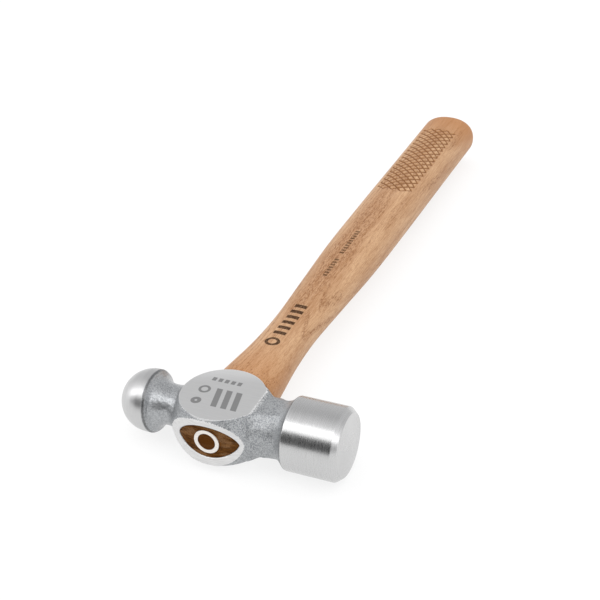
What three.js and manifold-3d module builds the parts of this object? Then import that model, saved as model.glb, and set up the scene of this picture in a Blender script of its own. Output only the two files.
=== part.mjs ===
// Ball peen hammer: a forged steel head on a hickory handle, held by a round steel wedge.
// Millimetres. The hammer lies on its side: +X towards the striking face, +Y from the head
// towards the butt, +Z up out of the upper cheek. Every solid is drawn about the point where the
// head's axis (X) crosses the handle's axis (Y), and the group then moves the hammer so that the
// origin is at the middle of its box, on the surface it lies on.

import * as THREE from "three";
import { mergeVertices } from "three/addons/utils/BufferGeometryUtils.js";
import Module from "manifold-3d";

const wasm = await Module();
wasm.setup();

// ---- Driving dimensions ----

const GAP = 0.3; // clearance kept between pieces that touch
const ROUND_SIDES = 40; // sides of every turned surface

// Poll: the cylinder with the flat striking face
const POLL_RADIUS = 16.1;
const FACE_X = 56.5;
const FACE_RADIUS = 13.9;
const FACE_BEVEL = 2.7; // length of the bevel round the face
const POLL_SHOULDER_X = 32.2; // where the cylinder reaches full radius
const POLL_FILLET = 9.7; // length of the curve from the neck up to full radius

// Peen: the ball on a round neck
const BALL_RADIUS = 14.05;
const BALL_X = -35.4;
const BALL_BAND = 1.4; // short cylinder behind the half ball
const BALL_BACK_RADIUS = 2.2; // rounding at the back of the ball
const BALL_BACK_TURN = 0.9; // radians it turns before the curve down to the neck starts
const BALL_NECK_RADIUS = 8.6;
const BALL_NECK_FILLET = 6.0; // length of the flare from this neck into the eye boss

// Eye boss: the middle of the head, with two flat cheeks
const CHEEK_Z = 11.9;
const CHEEK_RADIUS = 18.6;
const CHEEK_CENTRE_X = -0.7;
const EYE_HALF_HEIGHT = 18.85; // from the head's axis to the crown of the eye's arched faces
const ARCH_RADIUS = 36.0;
const RIM_LEFT_X = -18.4; // ends of the oval that is ground on the arched faces
const RIM_RIGHT_X = 16.4;
const RIM_LEFT_BLUNTNESS = 0.95; // 0 is two arcs meeting in a point, 1 is an ellipse
const RIM_RIGHT_BLUNTNESS = 0.42;
const RIM_HALF_WIDTH = 11.4;
const BOSS_LEFT_X = -19.6;
const BOSS_RIGHT_X = 14.2;
const FLANK_HALF_HEIGHT = 11.4; // half the height of the boss's end towards the ball

// Neck between the eye boss and the poll
const NECK_START_X = 21.0;
const NECK_HALF_HEIGHT = 12.0;
const NECK_HALF_WIDTH = 11.4;
const NECK_SIDE_FLAT = 7.2; // half the flat on the sides that face along the handle
const NECK_CHEEK_FLAT = 6.0; // half the flat on the cheek sides

// Eye: a pointed oval hole, waisted in the middle so that the spread tenon locks
const EYE_HALF_LENGTH = 14.05;
const EYE_HALF_WIDTH = 7.85;
const EYE_BLUNTNESS = 0.42;
const EYE_WAIST = 0.93; // size of the eye at mid height, as a share of its mouth

// Handle
const SHOULDER_Y = 14.0; // the grip starts here, and the head's shape is cut out of it
const TENON_ROOT_Y = 25.0; // depth to which the tenon runs inside the grip
const BUTT_Y = 329.5;
const BUTT_ROUNDING = 6.5;
const BUTT_HALF_WIDTH = 16.5;
const GRIP_EXPONENT = 2.25; // 2 is an ellipse, more is squarer
const GRIP_THICKNESS = 0.77; // thickness as a share of width
const SHOULDER_THICKNESS = 0.735; // the same at the shoulder, level with the cheeks
const SHOULDER_BLEND_Y = 60; // where the section has changed from one to the other

// Half the grip's width against the distance along the handle: the shoulder, the thin waist,
// the swell and the long straight grip.
const GRIP_HALF_WIDTHS = [
  [SHOULDER_Y, 15.8],
  [30, 14.1],
  [52, 12.1],
  [76, 11.6],
  [110, 13.1],
  [150, 14.9],
  [200, 15.6],
  [260, 16.0],
  [BUTT_Y - BUTT_ROUNDING, BUTT_HALF_WIDTH],
];

// Round wedge: a steel ring, tapered outside, driven into the end of the tenon
const WEDGE_OUTER_RADIUS = 5.8;
const WEDGE_INNER_RADIUS = 4.0;
const WEDGE_TIP_RADIUS = 4.5;
const WEDGE_LENGTH = 13.0;

// ---- Solids and geometries ----

function solidFrom(geometry) {
  const bare = geometry.clone();
  bare.deleteAttribute("normal");
  bare.deleteAttribute("uv");
  const merged = mergeVertices(bare, 1e-4);
  return new wasm.Manifold(
    new wasm.Mesh({
      numProp: 3,
      vertProperties: merged.attributes.position.array,
      triVerts: new Uint32Array(merged.index.array),
    }),
  );
}

function geometryFrom(solid) {
  const mesh = solid.getMesh();
  const geometry = new THREE.BufferGeometry();
  geometry.setAttribute("position", new THREE.BufferAttribute(mesh.vertProperties, 3));
  geometry.setIndex(new THREE.BufferAttribute(mesh.triVerts, 1));
  const faceted = geometry.toNonIndexed();
  faceted.computeVertexNormals();
  return faceted;
}

// A closed body through a list of rings. Each ring runs the same way round and mirrors itself
// about the line from its first point to its middle one, so its ends close with strips across.
function loft(rings) {
  const count = rings[0].length;
  const triangles = [];
  rings.slice(1).forEach((ring, k) => {
    for (let i = 0; i < count; i++) {
      const a = k * count + i;
      const b = k * count + ((i + 1) % count);
      triangles.push(a, b, a + count, b, b + count, a + count);
    }
  });
  const last = (rings.length - 1) * count;
  for (let i = 0; i < count / 2; i++) {
    const mirror = (count - i) % count;
    const next = i + 1;
    const nextMirror = count - next;
    if (i > 0) {
      triangles.push(i, mirror, next);
      triangles.push(last + i, last + next, last + mirror);
    }
    if (next !== nextMirror) {
      triangles.push(next, mirror, nextMirror);
      triangles.push(last + next, last + nextMirror, last + mirror);
    }
  }
  const geometry = new THREE.BufferGeometry().setFromPoints(rings.flat());
  geometry.setIndex(triangles);
  return geometry;
}

// A path of (radius, x) points turned about the head's axis.
function turnedAboutHeadAxis(path, divisions) {
  const geometry = new THREE.LatheGeometry(path.getPoints(divisions), ROUND_SIDES);
  return solidFrom(geometry.rotateZ(-Math.PI / 2));
}

function steps(from, to, count) {
  return Array.from({ length: count + 1 }, (_, i) => THREE.MathUtils.lerp(from, to, i / count));
}

// ---- Head ----

// Height of the arched eye faces above the head's axis.
function archHeight(x) {
  return EYE_HALF_HEIGHT - x ** 2 / (2 * ARCH_RADIUS);
}

// Half the width at x of a pointed oval: two arcs that meet at x = halfLength and -halfLength.
function pointedOval(x, halfLength, halfWidth) {
  const radius = (halfLength ** 2 + halfWidth ** 2) / (2 * halfWidth);
  return Math.sqrt(Math.max(radius ** 2 - x ** 2, 0)) - (radius - halfWidth);
}

// Half the width at x of an oval between that one and an ellipse.
function bluntOval(x, halfLength, halfWidth, bluntness) {
  const elliptic = halfWidth * Math.sqrt(Math.max(1 - (x / halfLength) ** 2, 0));
  return THREE.MathUtils.lerp(pointedOval(x, halfLength, halfWidth), elliptic, bluntness);
}

function rimHalfWidth(x) {
  const [end, bluntness] =
    x < 0 ? [-RIM_LEFT_X, RIM_LEFT_BLUNTNESS] : [RIM_RIGHT_X, RIM_RIGHT_BLUNTNESS];
  return bluntOval(x, end, RIM_HALF_WIDTH, bluntness);
}

// Half the height of the round flat on the cheeks.
function cheekHalfHeight(x) {
  return Math.sqrt(CHEEK_RADIUS ** 2 - (x - CHEEK_CENTRE_X) ** 2);
}

// One ring of the forging: two flats across the handle, two on the cheeks, four facets between.
function forgedRing(x, halfY, sideFlat, halfZ, cheekFlat) {
  const upper = [
    [halfY, sideFlat],
    [cheekFlat, halfZ],
    [-cheekFlat, halfZ],
    [-halfY, sideFlat],
  ];
  const lower = upper.map(([y, z]) => [y, -z]).reverse();
  const ring = [[halfY, 0], ...upper, [-halfY, 0], ...lower];
  return ring.map(([y, z]) => new THREE.Vector3(x, y, z));
}

// The boss's end towards the ball is a steep flank, short of the cheek's own outline.
function flankRing(growth) {
  const x = BOSS_LEFT_X - growth;
  const halfZ = CHEEK_Z - 0.7 + growth;
  return forgedRing(x, FLANK_HALF_HEIGHT + growth, 1.5, halfZ, 3.5);
}

function bossRing(x, growth) {
  const sideFlat = rimHalfWidth(x) + growth / 2;
  const cheekFlat = cheekHalfHeight(x) + growth / 2;
  return forgedRing(x, archHeight(x) + growth, sideFlat, CHEEK_Z + growth, cheekFlat);
}

function neckRing(x, growth) {
  const share = THREE.MathUtils.smoothstep(x, BOSS_RIGHT_X, NECK_START_X);
  const between = (from, to) => THREE.MathUtils.lerp(from, to, share);
  return forgedRing(
    x,
    between(archHeight(BOSS_RIGHT_X), NECK_HALF_HEIGHT) + growth,
    between(rimHalfWidth(BOSS_RIGHT_X), NECK_SIDE_FLAT) + growth / 2,
    between(CHEEK_Z, NECK_HALF_WIDTH) + growth,
    between(cheekHalfHeight(BOSS_RIGHT_X), NECK_CHEEK_FLAT) + growth / 2,
  );
}

// The forging between ball and poll, grown by a clearance when it is used as a cutter.
function bossAndNeck(growth) {
  const left = steps(RIM_LEFT_X + 0.3, 0, 10).map((x) => bossRing(x, growth));
  const right = steps(0, BOSS_RIGHT_X, 8).map((x) => bossRing(x, growth));
  const neck = steps(BOSS_RIGHT_X, NECK_START_X, 4).map((x) => neckRing(x, growth));
  const end = neckRing(POLL_SHOULDER_X, growth);
  return solidFrom(loft([flankRing(growth), ...left, ...right.slice(1), ...neck.slice(1), end]));
}

function poll() {
  const path = new THREE.Path();
  const rootX = POLL_SHOULDER_X - POLL_FILLET;
  const rootRadius = NECK_HALF_HEIGHT - 0.8;
  const bendX = POLL_SHOULDER_X - 5;
  path.moveTo(0, rootX);
  path.lineTo(rootRadius, rootX);
  path.bezierCurveTo(
    rootRadius + 0.2, bendX, POLL_RADIUS - 3, bendX + 2.1, POLL_RADIUS, POLL_SHOULDER_X,
  );
  path.lineTo(POLL_RADIUS, FACE_X - FACE_BEVEL);
  path.quadraticCurveTo(POLL_RADIUS - 1.1, FACE_X - 0.8, FACE_RADIUS, FACE_X);
  path.lineTo(0, FACE_X);
  return turnedAboutHeadAxis(path, 7);
}

function ballPeen() {
  const path = new THREE.Path();
  const backX = BALL_X + BALL_BAND;
  const backCentre = BALL_RADIUS - BALL_BACK_RADIUS;
  const neckX = BOSS_LEFT_X - BALL_NECK_FILLET;
  const flareX = BOSS_LEFT_X + 0.5;
  path.moveTo(0, BALL_X - BALL_RADIUS);
  path.absarc(0, BALL_X, BALL_RADIUS, -Math.PI / 2, 0);
  path.absarc(backCentre, backX, BALL_BACK_RADIUS, 0, BALL_BACK_TURN);
  path.quadraticCurveTo(BALL_NECK_RADIUS, neckX - 3.6, BALL_NECK_RADIUS, neckX);
  path.quadraticCurveTo(BALL_NECK_RADIUS, flareX - 2.5, FLANK_HALF_HEIGHT - 0.4, flareX);
  path.lineTo(0, flareX);
  return turnedAboutHeadAxis(path, 6);
}

// A ring of the eye's blunt pointed oval; height(x) is its place along the handle.
function eyeRing(halfLength, halfWidth, height) {
  const sides = 32;
  return Array.from({ length: sides }, (_, i) => {
    const angle = (2 * Math.PI * i) / sides;
    const x = halfLength * Math.cos(angle);
    const z = bluntOval(x, halfLength, halfWidth, EYE_BLUNTNESS);
    return new THREE.Vector3(x, height(x), -Math.sign(Math.sin(angle)) * z);
  });
}

// The eye's own shape, less a clearance all round, from one end height to the other.
function eyeShape(clearance, startHeight, endHeight) {
  const ring = (share, height) =>
    eyeRing(EYE_HALF_LENGTH * share - clearance, EYE_HALF_WIDTH * share - clearance, height);
  return solidFrom(loft([ring(1, startHeight), ring(EYE_WAIST, () => 0), ring(1, endHeight)]));
}

const beyondHead = EYE_HALF_HEIGHT + 2;
const head = bossAndNeck(0)
  .add(poll())
  .add(ballPeen())
  .subtract(eyeShape(0, () => -beyondHead, () => beyondHead));

// ---- Round wedge ----

// Turned about the handle's axis, grown by a clearance; above is how far it stands proud.
function wedgeShape(clearance, above) {
  const inner = WEDGE_INNER_RADIUS - clearance;
  const depth = WEDGE_LENGTH + clearance;
  const outline = [
    [inner, -above],
    [WEDGE_OUTER_RADIUS + clearance, -above],
    [WEDGE_TIP_RADIUS + clearance, depth],
    [inner, depth],
    [inner, -above],
  ].map(([radius, y]) => new THREE.Vector2(radius, y));
  const topY = -(EYE_HALF_HEIGHT - GAP);
  return solidFrom(new THREE.LatheGeometry(outline, ROUND_SIDES)).translate([0, topY, 0]);
}

const wedge = wedgeShape(0, 0);

// ---- Handle ----

function gripRing(y, halfWidth, inset) {
  const sides = 28;
  const fade = THREE.MathUtils.smoothstep(y, SHOULDER_Y, SHOULDER_BLEND_Y);
  const thickness = THREE.MathUtils.lerp(SHOULDER_THICKNESS, GRIP_THICKNESS, fade);
  const squared = (value) => Math.sign(value) * Math.abs(value) ** (2 / GRIP_EXPONENT);
  return Array.from({ length: sides }, (_, i) => {
    const angle = (2 * Math.PI * i) / sides;
    const x = (halfWidth - inset) * squared(Math.cos(angle));
    const z = (halfWidth * thickness - inset) * squared(Math.sin(angle));
    return new THREE.Vector3(x, y, -z);
  });
}

function grip() {
  const outline = new THREE.SplineCurve(GRIP_HALF_WIDTHS.map(([y, w]) => new THREE.Vector2(y, w)));
  const rings = outline.getPoints(28).map((point) => gripRing(point.x, point.y, 0));
  const butt = steps(0, Math.PI / 2, 3).slice(1).map((angle) => {
    const y = BUTT_Y - BUTT_ROUNDING * (1 - Math.sin(angle));
    return gripRing(y, BUTT_HALF_WIDTH, BUTT_ROUNDING * (1 - Math.cos(angle)));
  });
  return solidFrom(loft([...rings, ...butt]));
}

// The tenon's end is dressed to the same arch as the head, a little below it.
const tenonEnd = (x) => -(archHeight(x) - GAP);
const handle = grip()
  .subtract(bossAndNeck(GAP))
  .add(eyeShape(GAP, tenonEnd, () => TENON_ROOT_Y))
  .subtract(wedgeShape(GAP, 2));

// ---- Assembly ----

function piece(name, solid, color, roughness, metalness) {
  const material = new THREE.MeshStandardMaterial({ color, roughness, metalness });
  const mesh = new THREE.Mesh(geometryFrom(solid), material);
  mesh.name = name;
  return mesh;
}

const hammer = new THREE.Group();
hammer.add(
  piece("head", head, 0xb4b8bb, 0.42, 0.7),
  piece("handle", handle, 0xc48a55, 0.5, 0.0),
  piece("ring_wedge", wedge, 0xd8dadb, 0.3, 1.0),
);
hammer.position.set(
  -(FACE_X + BALL_X - BALL_RADIUS) / 2,
  -(BUTT_Y - EYE_HALF_HEIGHT) / 2,
  POLL_RADIUS,
);

export default hammer;
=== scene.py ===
"""Ball peen hammer: a painted forged head with a polished poll and ball, on a checkered hickory
handle locked by a round steel wedge.

Shapes are worked out in millimetres about the point where the head's axis (X, towards the
striking face) crosses the handle's axis (Y, towards the butt), with Z out of the upper cheek.
That point is found from the frame's boxes, and everything is placed there in metres.
"""

import math

import bmesh
import bpy
import numpy as np
from mathutils import Matrix, Vector, noise


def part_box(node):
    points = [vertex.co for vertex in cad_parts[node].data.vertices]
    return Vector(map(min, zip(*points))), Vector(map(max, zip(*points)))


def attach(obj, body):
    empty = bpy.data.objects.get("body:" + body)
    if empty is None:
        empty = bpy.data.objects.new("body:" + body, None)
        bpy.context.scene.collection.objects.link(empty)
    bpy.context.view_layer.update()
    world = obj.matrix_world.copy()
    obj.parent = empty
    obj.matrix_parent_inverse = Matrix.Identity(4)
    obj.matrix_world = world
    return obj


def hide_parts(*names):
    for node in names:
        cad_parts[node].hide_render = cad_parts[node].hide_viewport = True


MM = 0.001

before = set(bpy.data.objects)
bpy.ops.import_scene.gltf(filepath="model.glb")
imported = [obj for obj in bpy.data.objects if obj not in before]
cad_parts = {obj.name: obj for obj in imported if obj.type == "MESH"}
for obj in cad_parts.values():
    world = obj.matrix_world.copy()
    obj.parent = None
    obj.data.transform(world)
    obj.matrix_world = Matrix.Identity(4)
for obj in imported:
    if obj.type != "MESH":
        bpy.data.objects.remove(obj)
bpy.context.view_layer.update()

# ---- Driving dimensions, from the frame ----

head_low, head_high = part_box("head")
_, handle_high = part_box("handle")
wedge_low, wedge_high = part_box("ring_wedge")

CENTRE = Vector(
    (
        (wedge_low.x + wedge_high.x) / 2,
        (head_low.y + head_high.y) / 2,
        (head_low.z + head_high.z) / 2,
    )
)
POLL_RADIUS = (head_high.z - head_low.z) / 2 / MM
CROWN_Y = (head_high.y - head_low.y) / 2 / MM  # crown of the eye's arched faces
FACE_X = (head_high.x - CENTRE.x) / MM
BALL_TIP_X = (head_low.x - CENTRE.x) / MM
BUTT_Y = (handle_high.y - CENTRE.y) / MM
WEDGE_RADIUS = (wedge_high.x - wedge_low.x) / 2 / MM
WEDGE_LENGTH = (wedge_high.y - wedge_low.y) / MM
WEDGE_TOP_Y = (wedge_low.y - CENTRE.y) / MM

# ---- Shapes, in millimetres ----

# Poll
FACE_RADIUS = 13.9
FACE_BEVEL = 2.7
BEVEL_EDGE = 0.4  # how far its two edges are rounded
POLL_SHOULDER_X = 32.2
POLL_ROOT_X = 22.5
POLL_ROOT_RADIUS = 11.2

# Ball peen and its neck
BALL_RADIUS = 14.05
BALL_X = BALL_TIP_X + BALL_RADIUS
BALL_BAND = 1.9
BALL_STEP = 0.28  # the polished part stands this much above the painted part
BALL_BACK_RADIUS = 1.0
BALL_BACK_TURN = 66.0
BALL_LEAN = 1.0  # its back edge lies this far off square, above and below
BALL_NECK_RADIUS = 9.15
BALL_NECK_X = -25.6
BALL_FLARE_X = -18.7
BALL_FLARE_RADIUS = 11.0
PAINT_X = BALL_X + BALL_BAND  # where the paint starts
PAINT_EDGE = 1.1  # width of the painted shade along the paint's edge

# Eye boss
CHEEK_Z = 11.9
CHEEK_RADIUS = 18.6
CHEEK_CENTRE_X = -0.7
ARCH_RADIUS = 36.0
RIM_LEFT_X, RIM_RIGHT_X = -18.4, 16.4  # ends of the ground rim round the eye
RIM_LEFT_BLUNTNESS, RIM_RIGHT_BLUNTNESS = 0.95, 0.42
RIM_UPPER_WIDTH, RIM_LOWER_WIDTH = 10.7, 12.1  # from the axis up and down to its edges
BOSS_RIGHT_X = 14.2
NECK_START_X = 21.0
NECK_HALF_HEIGHT = 12.0
NECK_HALF_WIDTH = 11.4
NECK_SIDE_FLAT = 7.2
NECK_CHEEK_FLAT = 6.0
CLIP_LEFT_X, CLIP_RIGHT_X = -20.6, 20.6  # between them the ground flats trim the forging

# Rounding of edges in the polar sections: high is crisp
GROUND_CRISPNESS = 200.0
FORGED_CRISPNESS = 26.0
BLEND_DEPTH = 2.2  # where a turned part runs into the forging

# Eye and tenon
EYE_HALF_LENGTH = 14.05
EYE_HALF_WIDTH = 7.85
EYE_BLUNTNESS = 0.42
EYE_WAIST = 0.93
EYE_CHAMFER = 0.25
TENON_CLEARANCE = 0.1
TENON_RECESS = 0.3
END_GRAIN_Y = -10.0  # from here to the end of the tenon the wood shows end grain

# Round wedge
WEDGE_INNER_RADIUS = 4.0
WEDGE_TIP_RADIUS = 4.5
WEDGE_BEVEL = 0.18
SLOT_CLEARANCE = 0.06

# Handle
BUTT_ROUNDING = 6.5
GRIP_EXPONENT = 2.25
GRIP_THICKNESS = 0.77
SHOULDER_THICKNESS = 0.735
SHOULDER_Y = 14.0
SHOULDER_BLEND_Y = 60.0
SHOULDER_GAP = 0.08
SHOULDER_EDGE = 0.3
GRIP_HALF_WIDTHS = [
    (SHOULDER_Y, 15.8), (30.0, 14.1), (52.0, 12.1), (76.0, 11.6), (110.0, 13.1), (150.0, 14.9),
    (200.0, 15.6), (260.0, 16.0), (BUTT_Y - BUTT_ROUNDING, 16.5),
]

# Checkering: grooves at 45 degrees both ways, on both broad sides of the grip
CHECK_PITCH = 5.35  # along the handle and round it
CHECK_START_Y = 213.0
CHECK_LENGTH = 17 * CHECK_PITCH
CHECK_HALF_WIDTH = 2 * CHECK_PITCH
CHECK_DEPTH = 0.48
CHECK_GROOVE = 0.5


def smoothstep(low, high, x):
    t = np.clip((np.asarray(x, float) - low) / (high - low), 0, 1)
    return t * t * (3 - 2 * t)


def lerp(a, b, t):
    return a + (b - a) * t


def columns(*values):
    """Points from their coordinates; a single number goes with every point."""
    return np.stack(np.broadcast_arrays(*values), 1)


def smooth_curve(points):
    """A monotone cubic through (position, value) points."""
    at, value = (np.array(column, float) for column in zip(*points))
    step = np.diff(at)
    slope = np.diff(value) / step
    rising = slope[:-1] * slope[1:] > 0
    total = np.where(rising, slope[:-1] + slope[1:], 1)
    tangent = np.concatenate(
        [slope[:1], np.where(rising, 2 * slope[:-1] * slope[1:] / total, 0), slope[-1:]]
    )

    def evaluate(x):
        x = np.clip(np.asarray(x, float), at[0], at[-1])
        i = np.clip(np.searchsorted(at, x, side="right") - 1, 0, len(step) - 1)
        t = (x - at[i]) / step[i]
        rise = value[i + 1] - value[i]
        ease = t * t * (3 - 2 * t)
        start = tangent[i] * step[i] * t * (1 - t) ** 2
        end = tangent[i + 1] * step[i] * t * t * (t - 1)
        return value[i] + rise * ease + start + end

    return evaluate


def soft_minimum(values, crispness):
    """The least of several positive distances, with the corners between them rounded."""
    stack = np.stack(np.broadcast_arrays(*values))
    least = stack.min(0)
    return least * ((least / stack) ** crispness).sum(0) ** (-1 / crispness)


def soft_maximum(a, b, depth):
    near = np.maximum(depth - np.abs(a - b), 0)
    return np.maximum(a, b) + near**2 / (4 * depth)


# ---- The head's outline, as a radius about its axis ----


def arch_height(x):
    return CROWN_Y - x**2 / (2 * ARCH_RADIUS)


def pointed_oval(x, half_length, half_width):
    radius = (half_length**2 + half_width**2) / (2 * half_width)
    return np.sqrt(np.maximum(radius**2 - x**2, 0)) - (radius - half_width)


def blunt_oval(x, half_length, half_width, bluntness):
    """Between two arcs that meet in a point (bluntness 0) and an ellipse (bluntness 1)."""
    elliptic = half_width * np.sqrt(np.maximum(1 - (x / half_length) ** 2, 0))
    return lerp(pointed_oval(x, half_length, half_width), elliptic, bluntness)


def rim_width(x, upper):
    """From the head's axis to the upper or lower edge of the rim."""
    width = RIM_UPPER_WIDTH if upper else RIM_LOWER_WIDTH
    left = blunt_oval(np.clip(x, RIM_LEFT_X, 0), -RIM_LEFT_X, width, RIM_LEFT_BLUNTNESS)
    right = blunt_oval(np.clip(x, 0, RIM_RIGHT_X), RIM_RIGHT_X, width, RIM_RIGHT_BLUNTNESS)
    return np.where(x < 0, left, right)


def cheek_half_height(x):
    return np.sqrt(np.maximum(CHEEK_RADIUS**2 - (x - CHEEK_CENTRE_X) ** 2, 0))


# The forging's own sides (facing along the handle) and tops (facing out of the cheeks): they
# rise above the ground flats over the boss, and show beyond its two ends.
forged_side = smooth_curve(
    [
        (-25.0, 8.2), (-23.0, 8.6), (-21.4, 9.4), (-20.4, 10.4), (-19.7, 11.6), (-19.1, 12.9),
        (-18.4, 14.2), (-17.2, 16.0), (-15.0, 20.0), (-12.0, 23.0), (12.0, 19.6), (14.2, 17.0),
        (16.6, 14.95), (18.6, 13.2), (21.0, NECK_HALF_HEIGHT), (24.0, NECK_HALF_HEIGHT - 0.2),
    ]
)
forged_top = smooth_curve(
    [
        (-23.0, 7.8), (-21.6, 8.2), (-20.8, 8.9), (-20.2, 9.9), (-19.7, 11.0), (-19.3, 11.9),
        (-17.5, 14.0), (-10.0, 20.0), (8.0, 20.0), (14.0, 13.0), (16.2, 11.95), (18.5, 11.6),
        (21.0, NECK_HALF_WIDTH), (24.0, NECK_HALF_WIDTH),
    ]
)
# Half the width of the forged sides, beyond the ends of the ground rim.
forged_side_flat = smooth_curve(
    [
        (-24.0, 3.0), (-20.0, 2.8), (-18.2, 2.4), (-16.6, 0.0), (14.6, 0.0), (16.4, 1.8),
        (18.6, 5.0), (NECK_START_X, NECK_SIDE_FLAT), (24.0, NECK_SIDE_FLAT),
    ]
)


def facet_corners(x, upper):
    """The two corners of a facet in the section at x: (side y, flat z) and (flat y, top z)."""
    share = smoothstep(BOSS_RIGHT_X, NECK_START_X, x)
    side = np.minimum(arch_height(x), forged_side(x))
    side_flat = np.maximum(rim_width(x, upper), forged_side_flat(x))
    top = np.minimum(CHEEK_Z, forged_top(x))
    within = np.minimum(x, BOSS_RIGHT_X)
    top_flat = lerp(np.maximum(cheek_half_height(within), 1.5), NECK_CHEEK_FLAT, share)
    return side, side_flat, top, top_flat


def forged_radius(x, angle):
    """The forging between the ball and the poll, before its flats are ground."""
    cos, sin = np.cos(angle), np.sin(angle)
    with np.errstate(divide="ignore"):
        planes = [forged_side(x) / np.abs(cos), forged_top(x) / np.abs(sin)]
    for sign_z in (1, -1):
        side, side_flat, top, top_flat = facet_corners(x, sign_z > 0)
        normal_y, normal_z = np.maximum(top - side_flat, 0.1), np.maximum(side - top_flat, 0.1)
        length = np.hypot(normal_y, normal_z)
        normal_y, normal_z = normal_y / length, normal_z / length
        distance = side * normal_y + side_flat * normal_z
        for sign_y in (1, -1):
            facing = np.maximum(sign_y * normal_y * cos + sign_z * normal_z * sin, 1e-9)
            planes.append(distance / facing)
    return soft_minimum(planes, FORGED_CRISPNESS)


def quadratic(start, bend, end, count):
    t = np.linspace(0, 1, count)[:, None]
    start, bend, end = map(np.array, (start, bend, end))
    return start * (1 - t) ** 2 + 2 * bend * t * (1 - t) + end * t**2


def cubic(start, bend_a, bend_b, end, count):
    t = np.linspace(0, 1, count)[:, None]
    start, bend_a, bend_b, end = map(np.array, (start, bend_a, bend_b, end))
    inner = 3 * bend_a * t * (1 - t) ** 2 + 3 * bend_b * t**2 * (1 - t)
    return start * (1 - t) ** 3 + inner + end * t**3


def ball_profile():
    """(x, radius) from the ball's tip to where its neck flares into the boss."""
    turn = np.radians(np.linspace(2, 90, 34))
    tip = columns(BALL_X - BALL_RADIUS * np.cos(turn), BALL_RADIUS * np.sin(turn))
    band_x = np.linspace(BALL_X, PAINT_X, 9)[1:]
    band = columns(band_x, BALL_RADIUS)
    back_x, back_top = PAINT_X + BALL_STEP, BALL_RADIUS - BALL_STEP
    step = quadratic(band[-1], (PAINT_X + 0.06, back_top), (back_x, back_top), 5)[1:-1]
    centre = back_top - BALL_BACK_RADIUS
    turn = np.radians(np.linspace(0, BALL_BACK_TURN, 8))
    back = columns(
        back_x + BALL_BACK_RADIUS * np.sin(turn), centre + BALL_BACK_RADIUS * np.cos(turn)
    )
    into_neck = quadratic(
        back[-1], (BALL_NECK_X - 4.8, BALL_NECK_RADIUS), (BALL_NECK_X, BALL_NECK_RADIUS), 14
    )
    flare = quadratic(
        (BALL_NECK_X, BALL_NECK_RADIUS),
        (BALL_FLARE_X - 2.5, BALL_NECK_RADIUS),
        (BALL_FLARE_X, BALL_FLARE_RADIUS),
        12,
    )
    return np.concatenate([tip, band, step, back, into_neck[1:], flare[1:]])


def poll_profile():
    """(x, radius) from the poll's root to the edge of its face."""
    shoulder = (POLL_SHOULDER_X - 0.4, POLL_RADIUS - 0.35)
    root = cubic(
        (POLL_ROOT_X, POLL_ROOT_RADIUS),
        (POLL_SHOULDER_X - 5.0, POLL_ROOT_RADIUS + 0.2),
        (POLL_SHOULDER_X - 2.9, POLL_RADIUS - 3.0),
        shoulder,
        22,
    )
    rounding = quadratic(
        shoulder, (POLL_SHOULDER_X - 0.1, POLL_RADIUS), (POLL_SHOULDER_X + 0.5, POLL_RADIUS), 5
    )
    barrel_end = (FACE_X - FACE_BEVEL, POLL_RADIUS)
    face_edge = (FACE_X, FACE_RADIUS)
    along = np.array([FACE_BEVEL, FACE_RADIUS - POLL_RADIUS])
    along = along * BEVEL_EDGE / np.linalg.norm(along)
    barrel_x = np.linspace(POLL_SHOULDER_X + 0.5, barrel_end[0] - BEVEL_EDGE, 20)[1:]
    barrel = columns(barrel_x, POLL_RADIUS)
    corner = quadratic(barrel[-1], barrel_end, barrel_end + along, 5)
    edge = quadratic(face_edge - along, face_edge, (FACE_X, FACE_RADIUS - BEVEL_EDGE), 6)
    bevel = lerp(corner[-1], edge[0], np.linspace(0, 1, 7)[:, None])
    return np.concatenate([root, rounding[1:], barrel, corner[1:], bevel[1:], edge[1:]])


BALL_PROFILE = ball_profile()
POLL_PROFILE = poll_profile()


def turned_radius(x):
    """Radius of the turned ends at x, and next to nothing between them."""
    ball = np.interp(x, BALL_PROFILE[:, 0], BALL_PROFILE[:, 1])
    poll = np.interp(x, POLL_PROFILE[:, 0], POLL_PROFILE[:, 1])
    middle = 0.1
    return np.where(x <= BALL_FLARE_X, ball, np.where(x >= POLL_ROOT_X, poll, middle))


def ball_lean(x, z):
    """How far the ball's back edge is moved along X."""
    near = smoothstep(BALL_X - 3.5, BALL_X - 0.3, x) - smoothstep(BALL_X + 4.0, BALL_NECK_X, x)
    return -BALL_LEAN * near * z / BALL_RADIUS


def head_radii(x, angle):
    """Radius of the finished head, and of its forging and two ground planes, at (x, angle)."""
    x, angle = np.broadcast_arrays(np.asarray(x, float), angle)
    turned = turned_radius(x)
    inside = (x > BALL_NECK_X - 0.3) & (x < POLL_SHOULDER_X - 1)
    fade = 1 - smoothstep(BALL_NECK_X - 0.9, BALL_NECK_X + 3.6, x)
    forging = np.where(inside, forged_radius(x, angle) - 3.0 * fade, 0.1)
    forging = np.where(inside, soft_maximum(forging, turned, BLEND_DEPTH), turned)
    ground = (x > CLIP_LEFT_X) & (x < CLIP_RIGHT_X)
    with np.errstate(divide="ignore"):
        side = np.where(ground, arch_height(x) / np.abs(np.cos(angle)), 1e3)
        cheek = np.where(ground, CHEEK_Z / np.abs(np.sin(angle)), 1e3)
    finished = np.where(
        ground, soft_minimum([forging, side, cheek], GROUND_CRISPNESS), forging
    )
    return finished, forging, side, cheek


def head_surface_y(x, z):
    """Height of the head's surface above its axis, on the handle's side, at (x, z)."""
    x, z = np.broadcast_arrays(np.asarray(x, float), np.asarray(z, float))
    low, high = np.zeros(x.shape), np.full(x.shape, 30.0)
    for _ in range(40):
        middle = (low + high) / 2
        inside = np.hypot(middle, z) < head_radii(x, np.arctan2(z, middle))[0]
        low, high = np.where(inside, middle, low), np.where(inside, high, middle)
    return (low + high) / 2


# ---- Mesh making ----

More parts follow.
